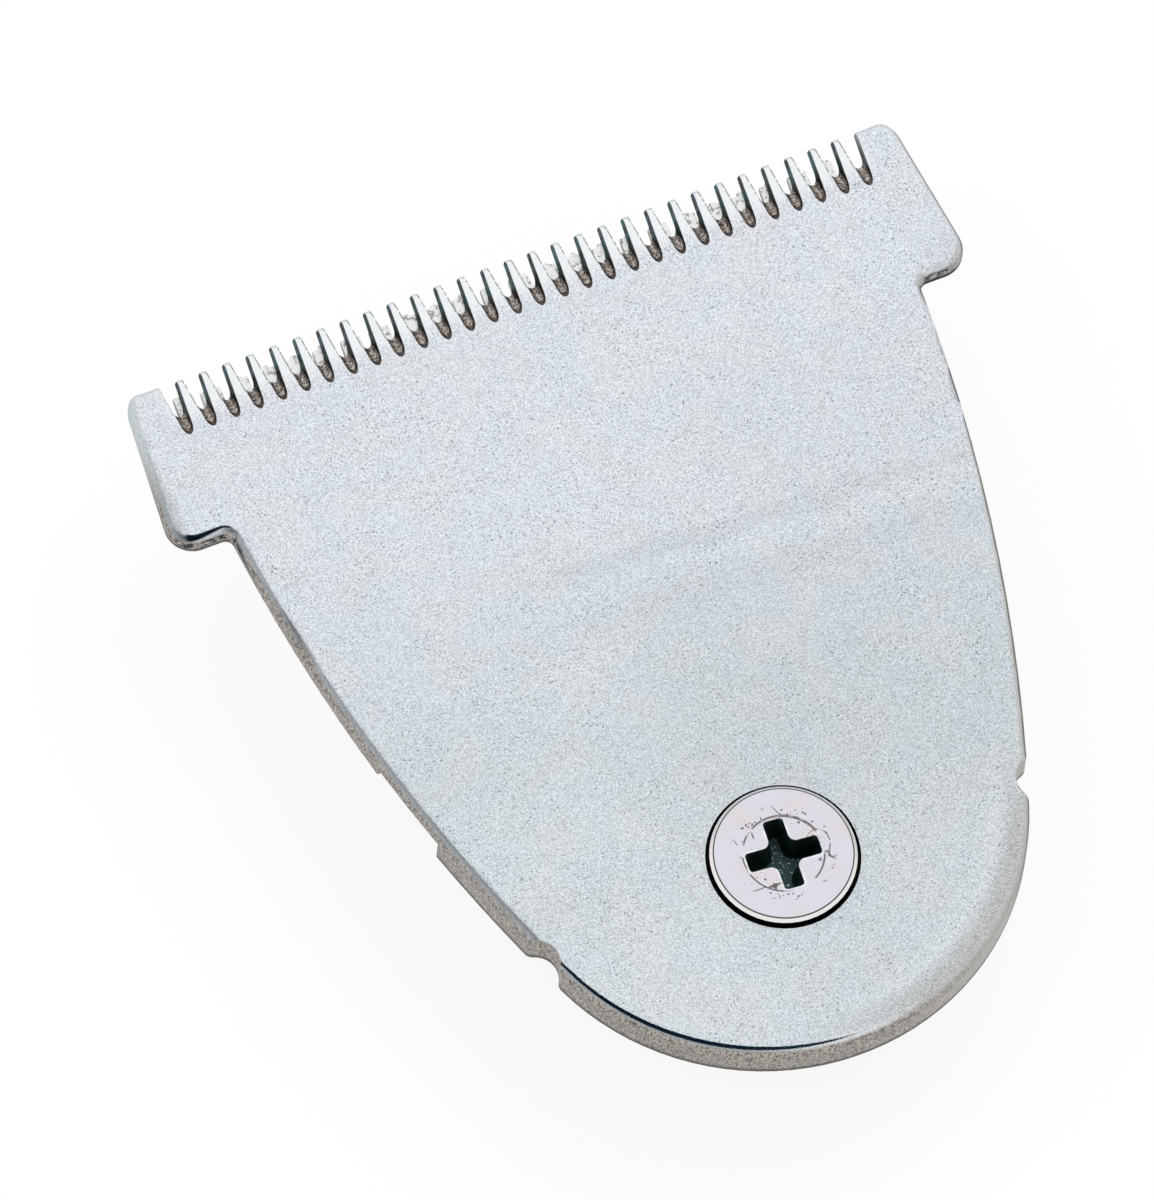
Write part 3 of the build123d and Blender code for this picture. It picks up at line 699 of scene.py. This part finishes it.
def mouldedPlastic(name, look):
    material, tree, shader = newMaterial(name)
    part = useGroup(tree, partPlace)
    skin = useGroup(tree, mouldedSkin, {"Place": part["Place"], "Texture Size": look["textureSize"]})
    colour = mix(tree, fade(tree, skin["Mottle"], *look["mottleFade"]), look["tone"], look["mottleTone"])
    colour = mix(tree, 1.0, colour, spread(tree, skin["Texture"], *look["textureTint"]), "MULTIPLY")
    feed(tree, colour, shader.inputs["Base Color"])
    rough = around(tree, skin["Texture"], look["roughness"], look["roughnessSwing"])
    feed(tree, rough, shader.inputs["Roughness"])
    bump(tree, shader, skin["Texture"], look["textureDepth"])
    return material


finishNode("cutter_driver", mouldedPlastic("driverPlastic", driverLook))
finishNode("blade_carrier", mouldedPlastic("carrierPlastic", carrierLook))


# spring: drawn wire, with lines that follow the arms and the crossbar
springLook = {
    "tone": tone(190, 190, 188),
    "lines": {"Length": 2.5, "Width": 0.06},
    "lineTint": (0.7, 1.1),
    "bendSize": 1.2,
    "roughness": 0.26,
    "roughnessSwing": 0.08,
}


def springSteel(look):
    material, tree, shader = newMaterial("springSteel")
    part = useGroup(tree, partPlace)
    armAcross = calc(tree, "ADD", part["X"], part["Z"])
    arm = useGroup(tree, toolLines, {"Along": part["Y"], "Across": armAcross, **look["lines"]})["Lines"]
    barAcross = calc(tree, "ADD", part["Y"], part["Z"])
    bar = useGroup(tree, toolLines, {"Along": part["X"], "Across": barAcross, **look["lines"]})["Lines"]
    onBar = fade(tree, part["Y"], crossbarY + look["bendSize"], crossbarY + look["bendSize"] / 2)
    lines = between(tree, onBar, arm, bar)
    shade = spread(tree, lines, *look["lineTint"])
    feed(tree, mix(tree, 1.0, look["tone"], shade, "MULTIPLY"), shader.inputs["Base Color"])
    rough = around(tree, lines, look["roughness"], look["roughnessSwing"])
    feed(tree, rough, shader.inputs["Roughness"])
    shader.inputs["Metallic"].default_value = 1.0
    return material


finishNode("pressure_spring", springSteel(springLook))


# screw: nickel plate, scuffed round the cross recess, with painted shade inside the recess and down the side
# of the head
screwLook = {
    "tone": tone(221, 222, 231),
    "warmTone": tone(224, 218, 222),
    "warmPatches": {"size": 1.5, "detail": 2.0, "fade": (0.4, 0.65)},
    "rings": {"Along": 0.0, "Length": 1.0, "Width": 0.05},
    "ringTint": (0.94, 1.05),
    "topFade": (0.9, 0.97),
    # scuffs
    # dark tone of the scuffs, and of the painted dark reflection line at the bevel
    "scuffAndReflectionTone": tone(64, 62, 62),
    "scuffStrength": 0.85,
    "scuffReach": 0.55,
    "coinRadius": 1.58,
    "coinWidth": 0.05,
    "coinBreaks": {"size": 0.9, "detail": 2.0, "fade": (0.42, 0.5)},
    "hairSize": 1.3,
    "hairWidth": 0.012,
    "hairOffset": (21.0, 8.0, 0.0),
    "hairBreaks": {"size": 0.7, "detail": 2.0, "fade": (0.48, 0.55)},
    "hairBreakOffset": (5.0, 2.0, 0.0),
    "nicks": {"size": 0.16, "detail": 1.0, "fade": (0.66, 0.72)},
    "markDepth": 0.004,
    # bevel and side of the head: painted highlight on the bevel, painted shade on the side
    "bevel": 0.15,
    "bevelHighlightTone": tone(236, 234, 232),
    "bevelFade": (0.95, 0.85),
    "bevelLine": (0.04, 0.01),
    "sideShadeTone": tone(30, 28, 28),
    "sideFade": (0.5, 0.2),
    "sideInset": 0.05,
    # cross recess, with painted shade inside
    "recessTurn": -5,
    "recessSpan": 2.95,
    "recessArm": 0.82,
    "recessShadeTone": tone(62, 84, 84),
    "recessFade": (0.06, 0.16),
    "recessReach": (1.9, 1.7),
    "speckTone": tone(190, 200, 198),
    "specks": {"size": 0.12, "detail": 2.0, "fade": (0.58, 0.7)},
    "speckFade": (0.3, 0.8),
    "rimTone": tone(246, 247, 248),
    "rimFade": (0.09, 0.05),
    "rimWear": {"size": 0.6, "detail": 2.0, "fade": (0.4, 0.6)},
    # roughness
    "roughness": 0.2,
    "roughnessSwing": 0.06,
    "recessRoughness": 0.5,
}


def screwMarks(tree, look, part, fromAxis):  # broken ring of the coined circle, hair scratches, small nicks
    place = part["Place"]
    offCoin = calc(tree, "ABSOLUTE", calc(tree, "SUBTRACT", fromAxis, look["coinRadius"]))
    coin = product(
        tree,
        fade(tree, offCoin, look["coinWidth"], look["coinWidth"] / 3),
        spots(tree, place, look["coinBreaks"]),
    )
    nearCoin = fade(tree, offCoin, look["scuffReach"], look["scuffReach"] / 2)
    # hairs run where the noise crosses its middle level
    lines = blobs(tree, shifted(tree, place, look["hairOffset"]), look["hairSize"], 0.0)
    contour = calc(tree, "ABSOLUTE", calc(tree, "SUBTRACT", lines, 0.5))
    hair = product(
        tree,
        fade(tree, contour, look["hairWidth"], look["hairWidth"] / 3),
        spots(tree, shifted(tree, place, look["hairBreakOffset"]), look["hairBreaks"]),
    )
    scuffs = calc(tree, "MAXIMUM", hair, spots(tree, place, look["nicks"]))
    marks = calc(tree, "MAXIMUM", coin, product(tree, nearCoin, scuffs))
    return product(tree, marks, fade(tree, part["Up"], *look["topFade"]))


def crossRim(tree, look, part):  # burnished rim just outside the cross recess
    turn = math.radians(look["recessTurn"])
    across = calc(tree, "SUBTRACT", part["Y"], screwY)
    x, cosTurn, sinTurn = part["X"], math.cos(turn), math.sin(turn)
    armU = calc(tree, "ADD", product(tree, x, cosTurn), product(tree, across, sinTurn))
    armV = calc(tree, "SUBTRACT", product(tree, across, cosTurn), product(tree, x, sinTurn))
    bars = []
    for first, second in ((armU, armV), (armV, armU)):
        reach = calc(tree, "SUBTRACT", calc(tree, "ABSOLUTE", first), look["recessSpan"] / 2)
        width = calc(tree, "SUBTRACT", calc(tree, "ABSOLUTE", second), look["recessArm"] / 2)
        bars.append(calc(tree, "MAXIMUM", reach, width))
    nearCross = fade(tree, calc(tree, "MINIMUM", *bars), *look["rimFade"])
    return product(tree, nearCross, spots(tree, part["Place"], look["rimWear"]))


def screwNickel(look):
    material, tree, shader = newMaterial("screwNickel")
    part = useGroup(tree, partPlace)
    place, up = part["Place"], part["Up"]
    fromAxis = distance(tree, inPlan(tree, place), (0, screwY, 0))
    rings = useGroup(tree, toolLines, {"Across": fromAxis, **look["rings"]})["Lines"]
    colour = mix(tree, spots(tree, place, look["warmPatches"]), look["tone"], look["warmTone"])
    colour = mix(tree, 1.0, colour, spread(tree, rings, *look["ringTint"]), "MULTIPLY")
    marks = screwMarks(tree, look, part, fromAxis)
    colour = mix(tree, product(tree, marks, look["scuffStrength"]), colour, look["scuffAndReflectionTone"])
    colour = mix(tree, crossRim(tree, look, part), colour, look["rimTone"])
    # painted highlight on the bevel, with a thin painted dark reflection where it meets the top
    bevelEnd = headRadius - look["bevel"]
    colour = mix(tree, fade(tree, up, *look["bevelFade"]), colour, look["bevelHighlightTone"])
    offBevel = calc(tree, "ABSOLUTE", calc(tree, "SUBTRACT", fromAxis, bevelEnd))
    colour = mix(tree, fade(tree, offBevel, *look["bevelLine"]), colour, look["scuffAndReflectionTone"])
    # painted shade in the cross recess, and on the side of the head down in its seat
    depth = calc(tree, "SUBTRACT", headZ, part["Z"])
    inReach = fade(tree, fromAxis, *look["recessReach"])
    inRecess = product(tree, fade(tree, depth, *look["recessFade"]), inReach)
    specks = product(tree, spots(tree, place, look["specks"]), fade(tree, up, *look["speckFade"]))
    colour = mix(tree, inRecess, colour, mix(tree, specks, look["recessShadeTone"], look["speckTone"]))
    atSide = fade(tree, fromAxis, bevelEnd, headRadius - look["sideInset"])
    onSide = product(tree, fade(tree, up, *look["sideFade"]), atSide)
    colour = mix(tree, onSide, colour, look["sideShadeTone"])
    feed(tree, colour, shader.inputs["Base Color"])
    rough = around(tree, rings, look["roughness"], look["roughnessSwing"])
    rough = between(tree, calc(tree, "MAXIMUM", inRecess, onSide), rough, look["recessRoughness"])
    feed(tree, rough, shader.inputs["Roughness"])
    shader.inputs["Metallic"].default_value = 1.0
    bump(tree, shader, calc(tree, "SUBTRACT", rings, marks), look["markDepth"])
    return material


finishNode("clamp_screw", screwNickel(screwLook))


# insert: turned brass
insertLook = {
    "tone": tone(214, 178, 104),
    "darkTone": tone(176, 138, 74),
    "rings": {"Along": 0.0, "Length": 1.0, "Width": 0.06},
    "ringDepth": 0.006,
    "roughness": 0.3,
    "roughnessSwing": 0.1,
}


def insertBrass(look):
    material, tree, shader = newMaterial("insertBrass")
    part = useGroup(tree, partPlace)
    fromAxis = distance(tree, inPlan(tree, part["Place"]), (0, screwY, 0))
    across = calc(tree, "ADD", fromAxis, part["Z"])
    rings = useGroup(tree, toolLines, {"Across": across, **look["rings"]})["Lines"]
    feed(tree, mix(tree, rings, look["darkTone"], look["tone"]), shader.inputs["Base Color"])
    rough = around(tree, rings, look["roughness"], look["roughnessSwing"])
    feed(tree, rough, shader.inputs["Roughness"])
    shader.inputs["Metallic"].default_value = 1.0
    bump(tree, shader, rings, look["ringDepth"])
    return material


finishNode("threaded_insert", insertBrass(insertLook))


# stage, in metres: pale floor, white surroundings, soft lamps, and a dark card mirrored by the rolled tail
stageLook = {
    "floorTone": (0.95, 0.95, 0.95, 1.0),
    "floorReach": 4.0,
    "floorSides": 4,
    "floorGap": 0.02,  # in millimetres
    "whiteShare": 0.88,
    "fill": 0.8,
}
cardLook = {
    "place": (-0.128, -0.12, 0.337),
    "along": (0.766, -0.643, 0.0),
    "halfLength": 0.24,
    "halfWidth": 0.15,
    "sides": 48,
    "tone": tone(16, 38, 56),
}
lampLook = {
    "key": {"place": (0.3, 0.28, 0.45), "size": 0.5, "power": 1.4},
    "fill": {"place": (-0.4, 0.1, 0.35), "size": 0.5, "power": 0.5},
}


def seenDirectly(tree):  # 1 for rays that show the surroundings, in the picture or in a reflection
    path = put(tree, "LightPath").outputs
    seen = calc(tree, "MAXIMUM", path["Is Camera Ray"], path["Is Glossy Ray"])
    return calc(tree, "MAXIMUM", seen, path["Is Transmission Ray"])


def sheetMesh(name, radius, sides):  # a flat sheet with that many sides, as wide as the radius reaches
    turns = [2 * math.pi * (i + 0.5) / sides for i in range(sides)]
    rim = [(radius * math.cos(a), radius * math.sin(a), 0) for a in turns]
    mesh = bpy.data.meshes.new(name)
    mesh.from_pydata(rim, [], [tuple(range(sides))])
    sheet = bpy.data.objects.new(name, mesh)
    scene.collection.objects.link(sheet)
    return sheet


def faceTo(obj, target):
    obj.rotation_euler = (Vector(target) - obj.location).to_track_quat("-Z", "Y").to_euler()


def paper(name, colour):
    material, tree, shader = newMaterial(name)
    shader.inputs["Base Color"].default_value = colour
    shader.inputs["Roughness"].default_value = 1.0
    shader.inputs["Specular IOR Level"].default_value = 0.0
    return material, tree, shader


def buildFloor(look):
    floor = sheetMesh("floor", look["floorReach"], look["floorSides"])
    floor.location.z = cadBox[0].z - look["floorGap"] * mm
    material, tree, shader = paper("floorPaper", look["floorTone"])
    white = put(tree, "Emission", {"Color": (1, 1, 1, 1), "Strength": 1.0})
    share = calc(tree, "MULTIPLY", seenDirectly(tree), look["whiteShare"])
    blend = put(tree, "MixShader", {0: share, 1: shader.outputs[0], 2: white.outputs[0]})
    feed(tree, blend.outputs[0], tree.nodes["Material Output"].inputs["Surface"])
    floor.data.materials.append(material)
    print("stage: floor ready")


def buildCard(card):  # an oval that faces the part and shows only in reflections
    sheet = sheetMesh("darkCard", card["halfLength"], card["sides"])
    inward = -Vector(card["place"]).normalized()
    across = inward.cross(Vector(card["along"])).normalized()
    sheet.location = card["place"]
    sheet.rotation_euler = Matrix((across.cross(inward), across, inward)).transposed().to_euler()
    sheet.scale.y = card["halfWidth"] / card["halfLength"]
    sheet.data.materials.append(paper("cardPaper", card["tone"])[0])
    sheet.visible_camera = False
    sheet.visible_diffuse = False
    sheet.visible_shadow = False
    print("stage: dark card ready")


def buildSurroundings(look):
    world = bpy.data.worlds.new("surroundings")
    world.use_nodes = True
    scene.world = world
    tree = world.node_tree
    strength = spread(tree, seenDirectly(tree), look["fill"], 1.0)
    background = tree.nodes["Background"]
    background.inputs["Color"].default_value = (1, 1, 1, 1)
    feed(tree, strength, background.inputs["Strength"])
    print("stage: surroundings ready")


def buildLamps(lamps):
    for name, lamp in lamps.items():
        data = bpy.data.lights.new(name + "Lamp", "AREA")
        data.size = lamp["size"]
        data.energy = lamp["power"]
        obj = bpy.data.objects.new(name + "Lamp", data)
        obj.location = lamp["place"]
        faceTo(obj, (0, 0, 0))
        obj.visible_glossy = False
        scene.collection.objects.link(obj)
    print("lamps:", ", ".join(lamps))


buildFloor(stageLook)
buildCard(cardLook)
buildSurroundings(stageLook)
buildLamps(lampLook)

# camera: a long lens from above the tail's left side, rolled as the picture is
photoView = {
    "azimuth": -28.61,
    "elevation": 65.87,
    "roll": 6.23,
    "aim": (-3.157, 3.244, 7.421),
    "distance": 1.15,
    "pixelsPerMm": 26.015,
    "longSide": 1200,
    "sensor": 36.0,
    "clipEnd": 10,
}


def buildCamera(look):
    azimuth, elevation, roll = (math.radians(look[k]) for k in ("azimuth", "elevation", "roll"))
    level = Vector((math.cos(azimuth), math.sin(azimuth), 0))
    ahead = Vector((-math.sin(azimuth), math.cos(azimuth), 0))
    back = Vector((0, 0, math.sin(elevation))) - ahead * math.cos(elevation)
    right = level * math.cos(roll) + back.cross(level) * math.sin(roll)
    up = back.cross(right)
    data = bpy.data.cameras.new("photoCamera")
    data.sensor_width = look["sensor"]
    data.lens = look["pixelsPerMm"] * look["distance"] / mm * look["sensor"] / look["longSide"]
    data.clip_end = look["clipEnd"]
    camera = bpy.data.objects.new("photoCamera", data)
    turn = Matrix((right, up, back)).transposed().to_4x4()
    camera.matrix_world = Matrix.Translation(Vector(look["aim"]) * mm + back * look["distance"]) @ turn
    scene.collection.objects.link(camera)
    scene.camera = camera
    print("camera: lens", round(data.lens), "mm at", look["distance"], "m")


buildCamera(photoView)
scene.view_settings.view_transform = "Standard"
